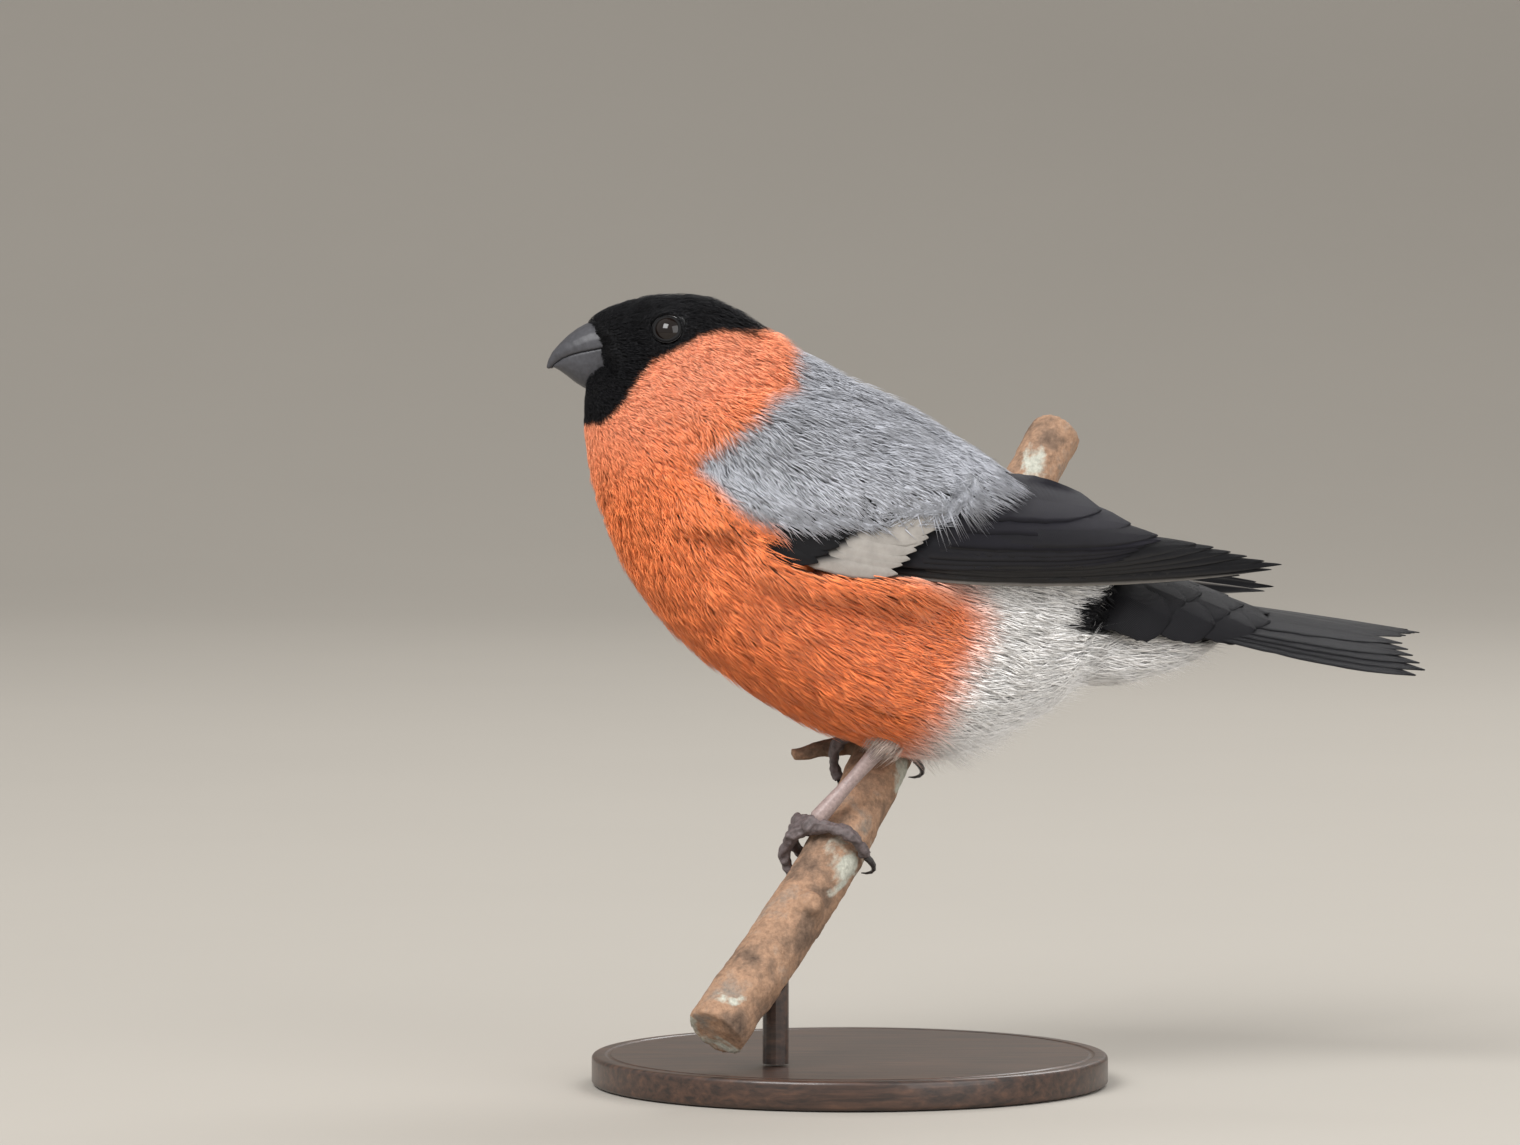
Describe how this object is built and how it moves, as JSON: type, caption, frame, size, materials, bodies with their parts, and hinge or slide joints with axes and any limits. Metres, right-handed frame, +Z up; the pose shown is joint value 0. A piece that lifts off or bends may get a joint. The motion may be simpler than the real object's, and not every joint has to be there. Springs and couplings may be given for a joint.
{
  "type": "bullfinch model",
  "caption": "Life-size still model of a male bullfinch gripping a short cut length of slanting branch, held by a rod on a round base.",
  "frame": {"origin": "centre of the stand base's underside, on the surface that the model stands on", "axes": "+Z up, the bird faces -X, its left side looks towards -Y"},
  "size_m": [0.1487, 0.1067, 0.135],
  "materials": {
    "cap_feathers": "soft glossy black feathers of the cap and bib",
    "neck_feathers": "soft feathers, orange on the throat side and ash grey on the nape",
    "body_feathers": "soft loose feathers, orange below, ash grey on the back and white on the rump and vent",
    "wing_feathers": "glossy blue-black vanes with a pale grey bar",
    "tail_feathers": "glossy blue-black vanes",
    "bill": "dark grey horn with a satin sheen",
    "eyes": "wet dark brown eyeball",
    "leg_skin": "scaly pinkish grey-brown skin",
    "claws": "dark horn, smooth",
    "bark": "rough tan bark with grey and pale green lichen",
    "stand_wood": "dark stained turned wood, satin"
  },
  "bodies": {
    "root": {"head": "cap_feathers", "neck": "neck_feathers", "torso": "body_feathers", "bill_upper": "bill", "bill_lower": "bill", "eye_left": "eyes", "eye_right": "eyes", "wing_left": "wing_feathers", "wing_right": "wing_feathers", "tail": "tail_feathers", "leg_left": "leg_skin", "leg_right": "leg_skin", "foot_left": "leg_skin", "foot_right": "leg_skin", "claw_left_inner": "claws", "claw_left_middle": "claws", "claw_left_outer": "claws", "claw_left_hind": "claws", "claw_right_inner": "claws", "claw_right_middle": "claws", "claw_right_outer": "claws", "claw_right_hind": "claws", "perch": "bark", "stand_base": "stand_wood", "stand_rod": "stand_wood"}
  },
  "joints": []
}
